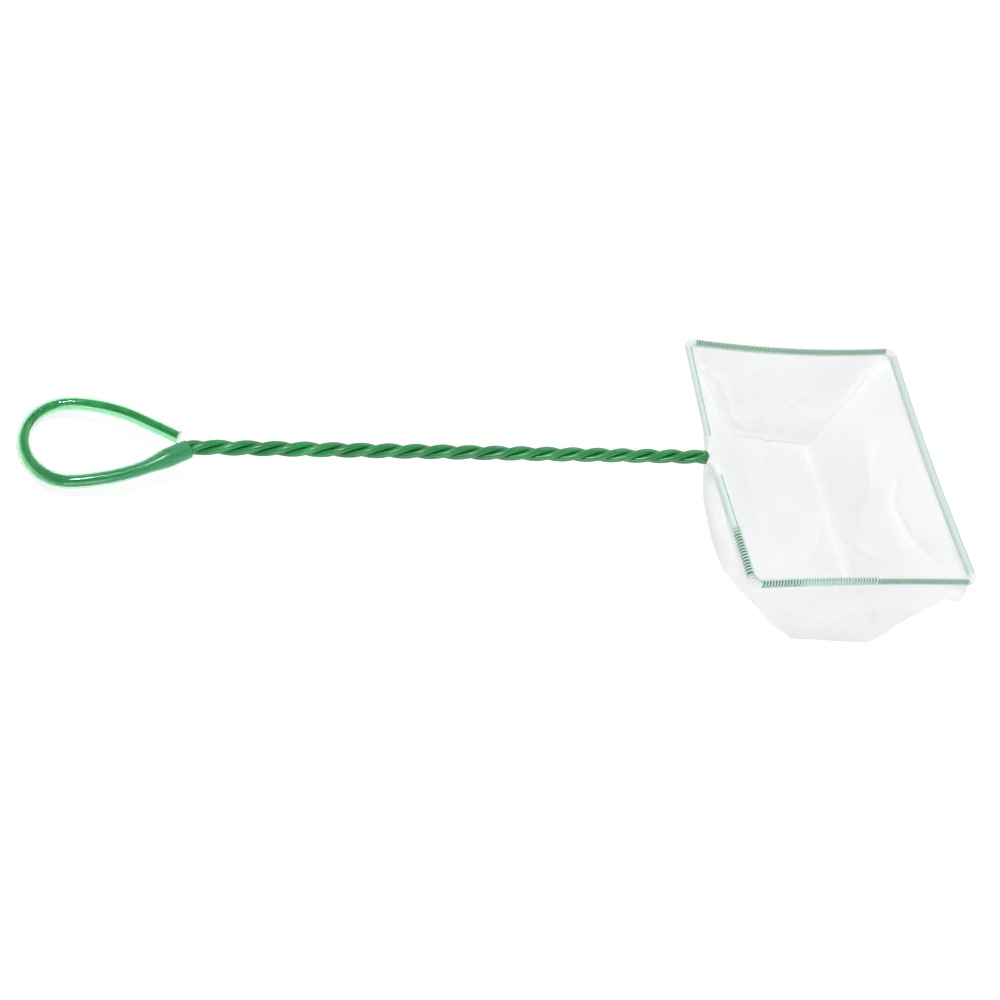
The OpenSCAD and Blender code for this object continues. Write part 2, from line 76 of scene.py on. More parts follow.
# Sizes of the tube's lie, the net's weave, the hem and the hang of the bag
TUBE_IOR = 1.45
TUBE_OVERHANG = 0.7 * MM
TUBE_SLIM_FROM = 24 * MM
TUBE_TAPER = 11 * MM
TIP_PINCH = 0.75 * MM
ARM_PUSH = (-0.36 * MM, -0.5 * MM, -0.12 * MM)
ARM_LIFT = 0.55 * MM
ARM_HANG = 0.16 * MM
NET_PITCH = 0.45 * MM
CORNER_BUNCH = 2.1 * MM
NECK_BUNCH = 8.5 * MM
BUNCH_EASE = 1.6 * MM
DOUBLED_HALF = 0.16 * MM
HEM_STEP = 0.62 * MM
SEAM_D = 0.28 * MM
SEAM_WALL = 0.08 * MM
NEAR_SPREAD = 3 * MM
RIPPLE = 3 * MM
SOFT_ROUNDS = 32
WALL_SWELL = 8.3 * MM
SWELL_POWER = 1.222
SWELL_PEAK = 0.2168
DRAW_IN = 1.41

# The net is laid out in the plane of its mouth, then leant back until bag and loop touch the floor
LEAN = math.radians(10.096)
REST = Matrix.Translation((143.419 * MM, 0, 63.8855 * MM)) @ Matrix.Rotation(-LEAN, 4, "Y")


def mix(a, b, t):
    return a + (b - a) * t


def smooth(t):
    t = min(max(t, 0.0), 1.0)
    return t * t * (3 - 2 * t)


def put(name, data):
    """An object in the scene."""
    made = bpy.data.objects.new(name, data)
    scene.collection.objects.link(made)
    return made


def level(name, left, right, half):
    """A level rectangle on the ground."""
    mesh = bpy.data.meshes.new(name)
    mesh.from_pydata([(left, -half, 0), (right, -half, 0), (right, half, 0), (left, half, 0)], [], [(0, 1, 2, 3)])
    return put(name, mesh)


# Camera and light

def set_camera():
    """The photograph's view: from above the handle's near side, with the camera turned over."""
    right = Vector((0.9502, -0.1539, 0.2710))
    down = Vector((0.0080, -0.8573, -0.5147))
    ahead = Vector((0.3115, 0.4912, -0.8134))
    turn = Matrix((right, -down, -ahead)).transposed().to_4x4()
    place = Matrix.Translation((-339.6 * MM, -305.6 * MM, 467.9 * MM))
    data = bpy.data.cameras.new("camera")
    data.sensor_width = 36
    data.lens = 50.4
    data.clip_start = 0.01
    scene.camera = put("camera", data)
    scene.camera.matrix_world = REST @ place @ turn


def add_lamp(name, at, aim, size, power):
    """A soft square lamp that looks at a point."""
    data = bpy.data.lights.new(name, "AREA")
    data.size = size
    data.energy = power
    lamp = put(name, data)
    lamp.location = at
    lamp.rotation_euler = (Vector(aim) - Vector(at)).to_track_quat("-Z", "Y").to_euler()


def set_light():
    """A white tent that is dark on the camera's side, with a lamp overhead and a weak one on each side."""
    world = bpy.data.worlds.new("studio")
    scene.world = world
    world.use_nodes = True
    tent = Shading(world.node_tree)
    toward = tent.facing(tent.add("TexCoord").outputs["Generated"], (-0.31, -0.49, 0.81))
    shade = tent.ramp(toward, ((0.3, (0.94, 0.94, 0.94)), (0.9, (0.27, 0.27, 0.27))))
    backdrop = tent.nodes["Background"].inputs
    tent.link(shade, backdrop["Color"])
    backdrop["Strength"].default_value = 0.9
    add_lamp("key", (-0.3, 0.05, 1.0), (0, 0, 0), 0.12, 5.3)
    add_lamp("fill", (0.7, 0.5, 0.8), (0.1, 0, 0), 0.7, 2)
    add_lamp("low", (-0.1, -0.9, 0.35), (0, 0, 0.03), 0.6, 3.7)
    scene.view_settings.view_transform = "Standard"


# Materials

class Shading:
    """Short ways to add nodes to a shader tree. Values are sockets or numbers, and each way returns a socket."""

    def __init__(self, tree):
        self.nodes, self.link = tree.nodes, tree.links.new

    def add(self, kind, **settings):
        node = self.nodes.new("ShaderNode" + kind)
        for key, value in settings.items():
            setattr(node, key, value)
        return node

    def math(self, operation, *values, clamp=False):
        node = self.add("Math", operation=operation, use_clamp=clamp)
        for socket, value in zip(node.inputs, values):
            if isinstance(value, (int, float)):
                socket.default_value = value
            else:
                self.link(value, socket)
        return node.outputs[0]

    def scaled(self, value, times, plus=0.0, clamp=False):
        return self.math("MULTIPLY_ADD", value, times, plus, clamp=clamp)

    def facing(self, way, toward):
        """How far a direction faces another."""
        node = self.add("VectorMath", operation="DOT_PRODUCT")
        node.inputs[1].default_value = toward
        self.link(way, node.inputs[0])
        return node.outputs["Value"]

    def ramp(self, fac, stops):
        """Colours along a ramp, as (place, colour) pairs."""
        node = self.add("ValToRGB")
        while len(node.color_ramp.elements) < len(stops):
            node.color_ramp.elements.new(0.5)
        for element, (place, colour) in zip(node.color_ramp.elements, stops):
            element.position = place
            element.color = (*colour, 1)
        self.link(fac, node.inputs["Fac"])
        return node.outputs["Color"]


class Finish(Shading):
    """A material with one Principled shader. Its UV map's unit is a metre, with the run along the piece in Y."""

    def __init__(self, name, colour, roughness):
        self.material = bpy.data.materials.new(name)
        self.material.use_nodes = True
        super().__init__(self.material.node_tree)
        self.shader = self.nodes["Principled BSDF"].inputs
        self.fix("Base Color", (*colour, 1))
        self.fix("Roughness", roughness)
        coordinates = self.add("TexCoord").outputs
        self.place, self.uv = coordinates["Object"], coordinates["UV"]

    def fix(self, name, value):
        self.shader[name].default_value = value

    def vary(self, name, value):
        self.link(value, self.shader[name])

    def noise(self, coordinates, scale, detail=2.0):
        node = self.add("TexNoise")
        node.inputs["Scale"].default_value = scale
        node.inputs["Detail"].default_value = detail
        self.link(coordinates, node.inputs["Vector"])
        return node.outputs["Fac"]

    def stretched(self, coordinates, scale):
        """Coordinates stretched by a Mapping node."""
        node = self.add("Mapping")
        node.inputs["Scale"].default_value = scale
        self.link(coordinates, node.inputs["Vector"])
        return node.outputs["Vector"]

    def split_uv(self):
        node = self.add("SeparateXYZ")
        self.link(self.uv, node.inputs[0])
        return node.outputs

    def bump(self, height, distance):
        node = self.add("Bump")
        node.inputs["Distance"].default_value = distance
        node.inputs["Strength"].default_value = 1.0
        self.link(height, node.inputs["Height"])
        self.vary("Normal", node.outputs["Normal"])


def vinyl_material(name, covered):
    """Green dip coat: glossy, with faint draw marks and a random tone, and painted lighter along the first length,
    which the tube covers.
    """
    coat = Finish(name, (0.012, 0.2, 0.05), 0.2)
    fade = 10 * MM
    # Painted light: inside the tube the coat is painted brighter, in place of the light that the tube holds back.
    painted_light_under_tube = coat.scaled(coat.split_uv()["Y"], -1 / fade, covered / fade, clamp=True)
    marks = coat.noise(coat.stretched(coat.uv, (1200, 90, 1)), 1.0, 3)
    tone_and_painted_light = coat.scaled(painted_light_under_tube, 0.5, coat.noise(coat.place, 60, 3))
    coat.vary("Base Color", coat.ramp(tone_and_painted_light, (
        (0.3, (0.008, 0.17, 0.042)), (0.7, (0.015, 0.25, 0.066)), (1.0, (0.008, 0.42, 0.13)))))
    coat.vary("Roughness", coat.scaled(marks, 0.16, 0.2))
    coat.fix("Specular IOR Level", 0.55)
    coat.fix("Subsurface Weight", 0.12)
    coat.fix("Subsurface Radius", (0.2, 1.0, 0.35))
    coat.fix("Subsurface Scale", 0.6 * MM)
    coat.bump(marks, 0.02 * MM)
    return coat.material


def sleeve_material(length):
    """Clear green soft tube, glossy along the loop and duller where it is stretched over the strands."""
    tube = Finish("clear_green_tube", (0.32, 0.82, 0.43), 0.06)
    haze = tube.noise(tube.place, 220, 3)
    tube.vary("Base Color", tube.ramp(haze, ((0.3, (0.58, 0.92, 0.67)), (0.7, (0.65, 0.94, 0.74)))))
    dull = tube.scaled(tube.split_uv()["Y"], 6 / length, -4.1, clamp=True)
    tube.vary("Roughness", tube.scaled(dull, 0.19, tube.scaled(haze, 0.04, 0.03)))
    tube.fix("Transmission Weight", 1.0)
    tube.fix("IOR", TUBE_IOR)
    tube.bump(tube.noise(tube.stretched(tube.uv, (900, 60, 1)), 1.0, 2), 0.012 * MM)
    return tube.material


def bore_material(length):
    """Bore of the clear tube: clear at the free end and the tip, cloudy where it is stretched over the strands."""
    bore = Finish("clear_green_bore", (0.27, 0.6, 0.42), 0.3)
    bore.fix("IOR", TUBE_IOR)
    bore.fix("Specular Tint", (0.25, 0.8, 0.45, 1.0))
    run = bore.math("MULTIPLY", bore.split_uv()["Y"], 1 / length)
    cloud = bore.ramp(run, [(place, (much, much, much)) for place, much in (
        (0.0, 0.1), (0.2, 0.06), (0.53, 0.06), (0.67, 0.55), (0.78, 0.72), (0.95, 0.82))])
    flank = bore.math("ABSOLUTE", bore.facing(bore.add("NewGeometry").outputs["Normal"], (-0.09, 0.857, 0.507)))
    middle = bore.scaled(flank, -8.0, 7.4, clamp=True)
    mouth = bore.scaled(run, 14.0, -12.2, clamp=True)
    faint = bore.scaled(bore.noise(bore.place, 1300, 3), 0.1, -0.05)
    milk = bore.scaled(cloud, bore.math("MAXIMUM", middle, mouth), faint, clamp=True)
    bore.vary("Transmission Weight", bore.scaled(milk, -1.0, 1.0))
    bore.vary("Roughness", bore.scaled(milk, 0.24, 0.05))
    bore.vary("Base Color", bore.ramp(milk, ((0.0, (0.60, 0.96, 0.72)), (0.5, (0.11, 0.53, 0.27)))))
    return bore.material


def steel_material():
    """Drawn steel wire."""
    steel = Finish("drawn_steel", (0.55, 0.56, 0.57), 0.3)
    lines = steel.noise(steel.stretched(steel.place, (120, 2600, 2600)), 1.0, 4)
    steel.vary("Base Color", steel.ramp(lines, ((0.3, (0.42, 0.43, 0.44)), (0.7, (0.66, 0.67, 0.68)))))
    steel.vary("Roughness", steel.scaled(lines, 0.3, 0.2))
    steel.fix("Metallic", 1.0)
    steel.bump(lines, 0.01 * MM)
    return steel.material


def weave(net, thread_share):
    """Coverage and height of a plain weave on the UV map."""
    wobble = net.noise(net.uv, 150, 2)
    split = net.split_uv()
    masks, waves = [], []
    for axis in ("X", "Y"):
        place = net.scaled(wobble, 1.2, net.scaled(split[axis], 1 / NET_PITCH))
        step = net.math("PINGPONG", place, 0.5)
        masks.append(net.scaled(step, -8.0, 8.0 * 0.5 * thread_share + 0.5, clamp=True))
        waves.append(net.math("SINE", net.math("MULTIPLY", place, math.pi)))
    parity = net.math("MULTIPLY", *waves)
    over, under = (net.scaled(parity, half, 0.5) for half in (0.5, -0.5))
    height = net.math("MAXIMUM", net.math("MULTIPLY", masks[0], over), net.math("MULTIPLY", masks[1], under))
    return net.math("MAXIMUM", *masks), height


def net_material(name, thread_share, least, colour, bunched=None):
    """Fine woven nylon net: threads with open squares between them. A piece's layers attribute closes it up; on the hem
    it also carries painted shade.
    """
    net = Finish(name, colour, 0.45)
    cover, height = weave(net, thread_share)
    layers = net.add("Attribute", attribute_name="layers").outputs["Fac"]
    open_cover = net.scaled(cover, 1 - least, least)
    shut = net.math("SUBTRACT", 1.0, open_cover)
    net.vary("Alpha", net.scaled(shut, layers, open_cover, clamp=True))
    pale = tuple(min(1.0, c * 1.05) for c in colour)
    dull = tuple(c * 0.96 for c in colour)
    shade = net.ramp(net.noise(net.place, 40, 3), ((0.3, dull), (0.7, pale)))
    if bunched:
        fold = net.add("Mix", data_type="RGBA")
        net.link(net.scaled(layers, 5.0, -3.6, clamp=True), fold.inputs["Factor"])
        net.link(shade, fold.inputs["A"])
        fold.inputs["B"].default_value = (*bunched, 1)
        shade = fold.outputs["Result"]
    net.vary("Base Color", shade)
    net.fix("Sheen Weight", 0.3)
    net.fix("Sheen Roughness", 0.4)
    net.bump(height, 0.05 * MM)
    return net.material


def thread_material(name, dark, light):
    """Sewing thread with its ply."""
    thread = Finish(name, light, 0.55)
    wave = thread.add("TexWave", bands_direction="DIAGONAL")
    wave.inputs["Scale"].default_value = 1400
    wave.inputs["Distortion"].default_value = 1.5
    thread.link(thread.place, wave.inputs["Vector"])
    ply = wave.outputs["Fac"]
    thread.vary("Base Color", thread.ramp(ply, ((0.0, dark), (1.0, light))))
    thread.fix("Sheen Weight", 0.3)
    thread.bump(ply, 0.03 * MM)
    return thread.material


def floor_material():
    """Pale floor that the camera, reflections and clear pieces see as white, with a faint shadow."""
    paper = Finish("floor_white", (0.82, 0.82, 0.82), 0.8)
    rays = paper.add("LightPath").outputs
    seen = paper.math("MAXIMUM", rays["Is Camera Ray"], rays["Is Glossy Ray"])
    seen = paper.math("MAXIMUM", seen, rays["Is Transmission Ray"])
    paper.fix("Emission Color", (1, 1, 1, 1))
    paper.vary("Emission Strength", paper.math("MULTIPLY", seen, 0.72))
    paper.vary("Base Color", paper.ramp(seen, ((0.0, (0.82, 0.82, 0.82)), (1.0, (0.42, 0.42, 0.42)))))
    paper.fix("Specular IOR Level", 0.0)
    return paper.material


# Routes in the plane of the mouth

def arc(centre, r, start, stop):
    """Points round an arc, half a millimetre apart."""
    steps = max(4, math.ceil(abs(math.radians(stop - start)) * r / (0.5 * MM)))
    turns = [math.radians(mix(start, stop, i / steps)) for i in range(steps + 1)]
    return [Vector((centre[0] + r * math.cos(t), centre[1] + r * math.sin(t), 0)) for t in turns]


def straight(a, b):
    """Points from a to b, half a millimetre apart."""
    steps = max(2, math.ceil((b - a).length / (0.5 * MM)))
    return [a.lerp(b, i / steps) for i in range(steps + 1)]


def chain(*stretches):
    """Stretches joined end to end."""
    route = []
    for stretch in stretches:
        for p in stretch:
            if not route or (p - route[-1]).length > 1e-6:
                route.append(p)
    return route


def eased(p, u, q, v, steps=24):
    """A smooth curve from p to q that leaves along u and arrives along v."""
    pull = 0.36 * (q - p).length
    a, b = p + pull * u, q - pull * v
    ts = [i / steps for i in range(steps + 1)]
    return [(1 - t) ** 3 * p + 3 * t * (1 - t) ** 2 * a + 3 * t ** 2 * (1 - t) * b + t ** 3 * q for t in ts]


def bow_reach(half, bow):
    """Radius of a side that bows out."""
    return (half * half + bow * bow) / (2 * bow)


CORNER_X = HALF_L - CORNER_R
CORNER_Y = HALF_W - CORNER_R
SIDE = Vector((-CORNER_X - NECK_X, CORNER_Y - NECK_HALF))
SIDE_ANGLE = math.degrees(math.atan2(SIDE.y, SIDE.x) + math.asin(CORNER_R / SIDE.length))
LAST_X = NECK_X - NECK_LEAD
THROAT_X = LAST_X - TWIST_L
TIP_X = THROAT_X - LOOP_RUN
NEAR_WAY = Vector((-math.cos(LOOP_ANGLE), -math.sin(LOOP_ANGLE), 0))


def mouth_route():
    """Wire of the mouth, from the far side of the neck round to its near side, and where each corner lies."""
    far, near, end = (bow_reach(half, bow) for half, bow in
                      ((CORNER_X, FAR_BOW), (CORNER_X, NEAR_BOW), (CORNER_Y, END_BOW)))
    far_turn, near_turn = (math.degrees(math.asin(CORNER_X / r)) for r in (far, near))
    end_turn = math.degrees(math.asin(CORNER_Y / end))
    corners = [
        arc((-CORNER_X, CORNER_Y), CORNER_R, 90 + SIDE_ANGLE, 90 - far_turn),
        arc((CORNER_X, CORNER_Y), CORNER_R, 90 + far_turn, -end_turn),
        arc((CORNER_X, -CORNER_Y), CORNER_R, end_turn, -90 - near_turn),
        arc((-CORNER_X, -CORNER_Y), CORNER_R, 270 + near_turn, 270 - SIDE_ANGLE),
    ]
    neck = [Vector((NECK_X, y, 0)) for y in (NECK_HALF, -NECK_HALF)]
    route = chain(
        straight(neck[0], corners[0][0]), corners[0],
        arc((0, CORNER_Y + far - FAR_BOW), far - CORNER_R, 270 - far_turn, 270 + far_turn), corners[1],
        arc((CORNER_X + end - END_BOW, 0), end - CORNER_R, 180 - end_turn, 180 + end_turn), corners[2],
        arc((0, -CORNER_Y - near + NEAR_BOW), near - CORNER_R, 90 - near_turn, 90 + near_turn), corners[3],
        straight(corners[3][-1], neck[1]),
    )
    return route, [c[len(c) // 2] for c in corners]


def line_frame(u):
    """The handle's line at a distance from its neck end: a point of it and the way to its far side."""
    bend = min(max((u - TWIST_L) / THROAT_R, 0), LOOP_ANGLE)
    rest = max(u - TWIST_L - THROAT_R * LOOP_ANGLE, 0)
    point = Vector((LAST_X - min(u, TWIST_L) - THROAT_R * math.sin(bend), -THROAT_R * (1 - math.cos(bend)), 0))
    return point + rest * NEAR_WAY, Vector((-math.sin(bend), math.cos(bend), 0))


def strand_turn(k, u):
    """How far strand k has turned about the handle's line."""
    return math.radians(NECK_TURN + 120 * k) + 2 * math.pi * u / LAY


def strand_point(k, u):
    """Place of strand k in the twist. Strand a, whose k is zero, comes in to the line past the others' ends."""
    point, side = line_frame(u)
    r = STRAND_R * (1 - smooth((u - TWIST_L - TAIL_L) / (TAIL_IN - TAIL_L)))
    turn = strand_turn(k, u)
    return point + r * math.cos(turn) * side + Vector((0, 0, r * math.sin(turn)))


def strand_route(k, side, far):
    """A strand from its end in the loop to the neck. Strand c, whose side is zero, is cut at the neck."""
    steps = math.ceil(far / (0.8 * MM))
    twist = [strand_point(k, far * (1 - i / steps)) for i in range(steps + 1)]
    if side == 0:
        return twist
    climb, turn = 2 * math.pi * STRAND_R / LAY, strand_turn(k, 0)
    leave = Vector((1, climb * math.sin(turn), -climb * math.cos(turn))).normalized()
    arrive = Vector((math.cos(math.radians(SIDE_ANGLE)), side * math.sin(math.radians(SIDE_ANGLE)), 0))
    return chain(twist, eased(twist[-1], leave, Vector((NECK_X, side * NECK_HALF, 0)), arrive))


def strand_a():
    """The wire's strand that runs on as the loop."""
    return strand_route(0, 1, TWIST_L + TAIL_IN)


def strand_b():
    """The wire's strand that is cut inside the tube."""
    return strand_route(-1, -1, TWIST_L + TAIL_L)


def strand_c():
    """The third wire."""
    return strand_route(1, 0, TWIST_L + 0.7 * TAIL_L)


def loop_route():
    """The loop from the wire's free end round the shoulder, the tip and the near shoulder to strand a."""
    free = Vector((THROAT_X - FREE_BACK, FREE_OUT, 0))
    run, drop = free.x - TIP_X, LOOP_R + LOOP_SHIFT - FREE_OUT
    r = 0.85 * (run * run + drop * drop) / (2 * drop)
    slope = math.degrees(math.asin(r / math.hypot(run, drop - r)) - math.atan2(r - drop, run))
    bend = arc((TIP_X, LOOP_SHIFT + LOOP_R - r), r, 90 - slope, 90)
    throat, near_y = line_frame(TWIST_L + THROAT_R * LOOP_ANGLE)[0], LOOP_SHIFT - LOOP_R
    corner_x = throat.x - (throat.y - near_y) / math.tan(LOOP_ANGLE)
    near_r = (corner_x - TIP_X) / math.tan(LOOP_ANGLE / 2)
    shoulder = arc((TIP_X, near_y + near_r), near_r, 270, 270 + math.degrees(LOOP_ANGLE))
    return chain(straight(free, bend[0]), bend, arc((TIP_X, LOOP_SHIFT), LOOP_R, 90, 270), shoulder,
                 straight(shoulder[-1], line_frame(TWIST_L + TAIL_IN)[0]))


def wire_route():
    """The wire from its free end round the loop, along strand a, round the mouth and back along strand b."""
    return chain(loop_route(), strand_a(), mouth_route()[0], strand_b()[::-1])


def lengths(route):
    """Distance of each point along a route."""
    out = [0.0]
    for a, b in zip(route, route[1:]):
        out.append(out[-1] + (b - a).length)
    return out


def runs_at(route, points):
    """How far along a route each point lies."""
    along = lengths(route)
    return [along[min(range(len(route)), key=lambda i: (route[i] - p).length)] for p in points]


def tube_width(u):
    """Width of the tube at a distance past the throat, where it is stretched over the strands' ends."""
    return mix(SLEEVE_D, SLEEVE_MOUTH_D, smooth((TUBE_SLIM_FROM - u) / TUBE_TAPER))


def sleeve_route():
    """The tube's route and widths, from its free end. It lies to one side of the wire and is pinched at the tip."""
    loop = loop_route()
    ahead = (loop[0] - loop[1]).normalized()
    laid = [loop[0] + TUBE_OVERHANG * ahead] + loop[:-1]
    route = [laid[0]]
    for a, b in zip(laid, laid[1:]):
        count = max(1, round((b - a).length / MM))
        route += [a.lerp(b, (i + 1) / count) for i in range(count)]
    along = lengths(route)
    slid, widths = [], []
    for p, run in zip(route, along):
        t = run / along[-1]
        push = 1 - smooth((t - 0.68) / 0.14)
        lift = ARM_LIFT * smooth((t - 0.72) / 0.14) * (1 - smooth((t - 0.9) / 0.1))
        hang = ARM_HANG * (1 - smooth((t - 0.9) / 0.1))
        pinch = math.exp(-((t - 0.5) / 0.12) ** 2)
        off = Vector((ARM_PUSH[0], ARM_PUSH[1] * (1 - pinch), ARM_PUSH[2]))
        slid.append(p + push * off + Vector((0, lift, -hang)))
        widths.append(tube_width(TAIL_IN + along[-1] - run) - TIP_PINCH * pinch)
    steps = 28
    for i in range(steps + 1):
        u = mix(TAIL_IN, SLEEVE_START, i / steps)
        slid.append(line_frame(TWIST_L + u)[0])
        widths.append(tube_width(u))
    for _ in range(8):
        slid = [slid[0]] + [(a + 2 * b + c) / 4 for a, b, c in zip(slid, slid[1:], slid[2:])] + [slid[-1]]
    return slid, widths


# Node trees that make what follows a path

def new_tree(name, sizes, materials=("Material",)):
    """A geometry node tree with a Geometry input, named size inputs and material inputs."""
    tree = bpy.data.node_groups.new(name, "GeometryNodeTree")
    tree.interface.new_socket("Geometry", in_out="INPUT", socket_type="NodeSocketGeometry")
    for label, value in sizes:
        kind = "NodeSocketInt" if isinstance(value, int) else "NodeSocketFloat"
        tree.interface.new_socket(label, in_out="INPUT", socket_type=kind).default_value = value
    for label in materials:
        tree.interface.new_socket(label, in_out="INPUT", socket_type="NodeSocketMaterial")
    tree.interface.new_socket("Geometry", in_out="OUTPUT", socket_type="NodeSocketGeometry")
    return tree, tree.nodes.new("NodeGroupInput").outputs


def node(tree, kind, inputs=None, **settings):
    """A node with its settings, whose inputs are set or linked by name or number. Returns the node."""
    made = tree.nodes.new(kind)
    for key, value in settings.items():
        setattr(made, key, value)
    for key, value in (inputs or {}).items():
        if isinstance(value, bpy.types.NodeSocket):
            tree.links.new(value, made.inputs[key])
        else:
            made.inputs[key].default_value = value
    return made


def calc(tree, operation, *values):
    """Output of a Math node."""
    return node(tree, "ShaderNodeMath", dict(enumerate(values)), operation=operation).outputs[0]


def finish_tree(tree, geometry, material, inner=None):
    """Ends a tree with plain mesh and its material, and another material on an inner selection of its faces."""
    real = node(tree, "GeometryNodeRealizeInstances", {"Geometry": geometry})
    painted = node(tree, "GeometryNodeSetMaterial", {"Geometry": real.outputs[0], "Material": material})
    if inner:
        painted = node(tree, "GeometryNodeSetMaterial",
                       {"Geometry": painted.outputs[0], "Selection": inner[0], "Material": inner[1]})
    shaded = node(tree, "GeometryNodeSetShadeSmooth", {"Geometry": painted.outputs[0]})
    tree.links.new(shaded.outputs[0], node(tree, "NodeGroupOutput").inputs[0])


def tube_tree():
    """A tube with a wall, along a route that carries its width. Its UV map holds lengths in metres."""
    tree, given = new_tree("tube_along_route", (("Wall", 0.5 * MM), ("Sides", 20), ("Step", 0.6 * MM)),
                           ("Material", "Bore material"))
    curve = node(tree, "GeometryNodeMeshToCurve", {"Mesh": given["Geometry"]})
    even = node(tree, "GeometryNodeResampleCurve", {"Curve": curve.outputs[0], "Length": given["Step"]}, mode="LENGTH")
    along = node(tree, "GeometryNodeSplineParameter")
    marked = node(tree, "GeometryNodeStoreNamedAttribute",
                  {"Geometry": even.outputs[0], "Name": "along", "Value": along.outputs["Length"]}, domain="POINT")
    points = calc(tree, "ADD", given["Sides"], 1.0)
    ring = node(tree, "GeometryNodeCurveArc", {"Resolution": points, "Radius": 0.5, "Sweep Angle": 2 * math.pi})
    around = node(tree, "GeometryNodeStoreNamedAttribute",
                  {"Geometry": ring.outputs[0], "Name": "around", "Value": along.outputs["Length"]}, domain="POINT")
    width, run, turn = [node(tree, "GeometryNodeInputNamedAttribute", {"Name": n}).outputs[0]
                        for n in ("width", "along", "around")]
    swept = node(tree, "GeometryNodeCurveToMesh",
                 {"Curve": marked.outputs[0], "Profile Curve": around.outputs[0], "Scale": width})
    pair = node(tree, "ShaderNodeCombineXYZ", {"X": calc(tree, "MULTIPLY", turn, width), "Y": run})
    mapped = node(tree, "GeometryNodeStoreNamedAttribute",
                  {"Geometry": swept.outputs[0], "Name": "UVMap", "Value": pair.outputs[0]},
                  data_type="FLOAT2", domain="CORNER")
    skin = node(tree, "GeometryNodeMergeByDistance", {"Geometry": mapped.outputs[0], "Distance": 0.01 * MM})
    inward = calc(tree, "MULTIPLY", given["Wall"], -1.0)
    bore = node(tree, "GeometryNodeExtrudeMesh",
                {"Mesh": skin.outputs[0], "Offset Scale": inward, "Individual": False})
    both = node(tree, "GeometryNodeJoinGeometry")
    for part in (skin, bore):
        tree.links.new(part.outputs[0], both.inputs[0])
    joined = node(tree, "GeometryNodeMergeByDistance", {"Geometry": both.outputs[0], "Distance": 0.01 * MM})
    finish_tree(tree, joined.outputs[0], given["Material"], (bore.outputs["Top"], given["Bore material"]))
    return tree


def stitch_tree():
    """Overstitching: a loop of thread round the hem at every step of a route, and a chain along its lower edge."""
    tree, given = new_tree("stitches_round_hem", (
        ("Pitch", 1.4 * MM), ("Loop width", 3.2 * MM), ("Loop height", 4.4 * MM), ("Drop", 0.55 * MM),
        ("Thread", 0.2 * MM), ("Slant", 0.16), ("Seed", 7)))
    curve = node(tree, "GeometryNodeMeshToCurve", {"Mesh": given["Geometry"]})
    flat = node(tree, "GeometryNodeSetCurveNormal", {"Curve": curve.outputs[0]}, mode="Z_UP")
    spots = node(tree, "GeometryNodeCurveToPoints", {"Curve": flat.outputs[0], "Length": given["Pitch"]}, mode="LENGTH")
    half = calc(tree, "MULTIPLY", given["Thread"], 0.5)
    section = node(tree, "GeometryNodeCurvePrimitiveCircle", {"Resolution": 6, "Radius": half})
    ring = node(tree, "GeometryNodeCurvePrimitiveCircle", {"Resolution": 12, "Radius": 0.5})
    size = node(tree, "ShaderNodeCombineXYZ", {"X": given["Loop width"], "Y": given["Loop height"], "Z": 1.0})
    fall = calc(tree, "MULTIPLY", given["Drop"], -1.0)
    low = node(tree, "ShaderNodeCombineXYZ", {"Y": fall})
    oval = node(tree, "GeometryNodeTransform",
                {"Geometry": ring.outputs[0], "Translation": low.outputs[0], "Scale": size.outputs[0]})
    loop = node(tree, "GeometryNodeCurveToMesh", {"Curve": oval.outputs[0], "Profile Curve": section.outputs[0]})
    foot = calc(tree, "MULTIPLY_ADD", given["Loop height"], -0.5, fall)
    reach = calc(tree, "MULTIPLY", given["Pitch"], 0.62)
    back = calc(tree, "MULTIPLY", reach, -1.0)
    ends = [node(tree, "ShaderNodeCombineXYZ", {"X": given["Thread"], "Y": foot, "Z": z}).outputs[0]
            for z in (back, reach)]
    line = node(tree, "GeometryNodeCurvePrimitiveLine", {"Start": ends[0], "End": ends[1]})
    link = node(tree, "GeometryNodeCurveToMesh",
                {"Curve": line.outputs[0], "Profile Curve": section.outputs[0], "Fill Caps": True})
    stitch = node(tree, "GeometryNodeJoinGeometry")
    for part in (loop, link):
        tree.links.new(part.outputs[0], stitch.inputs[0])
    least, most = (calc(tree, "MULTIPLY", given["Slant"], share) for share in (0.4, 1.6))
    tilt = node(tree, "FunctionNodeRandomValue", {2: least, 3: most, "Seed": given["Seed"]}, data_type="FLOAT")
    turn = node(tree, "ShaderNodeCombineXYZ", {"Y": tilt.outputs[1]})
    turned = node(tree, "FunctionNodeRotateRotation",
                  {0: spots.outputs["Rotation"], 1: turn.outputs[0]}, rotation_space="LOCAL")
    swell = node(tree, "FunctionNodeRandomValue", {2: 0.94, 3: 1.06, "Seed": given["Seed"]}, data_type="FLOAT")
    placed = node(tree, "GeometryNodeInstanceOnPoints", {
        "Points": spots.outputs[0], "Instance": stitch.outputs[0], "Rotation": turned.outputs[0],
        "Scale": swell.outputs[1]})
    finish_tree(tree, placed.outputs[0], given["Material"])
    return tree


def laid_route(name, route, widths):
    """A route as a mesh of points and edges, with the width of what follows it."""
    mesh = bpy.data.meshes.new(name)
    mesh.from_pydata(route, [(i, i + 1) for i in range(len(route) - 1)], [])
    mesh.attributes.new("width", "FLOAT", "POINT").data.foreach_set("value", widths)
    return put(name, mesh)


def evaluated(made):
    """The mesh that an object's modifiers make."""
    graph = bpy.context.evaluated_depsgraph_get()
    return bpy.data.meshes.new_from_object(made.evaluated_get(graph), preserve_all_data_layers=True, depsgraph=graph)


def plain_mesh(made, name, place):
    """The evaluated object as a plain mesh object in the resting frame, with its normals outward."""
    mesh = evaluated(made)
    old = made.data
    bpy.data.objects.remove(made)
    bpy.data.meshes.remove(old)
    mesh.transform(place)
    outward(mesh)
    mesh.set_sharp_from_angle(angle=math.radians(50))
    return put(name, mesh)


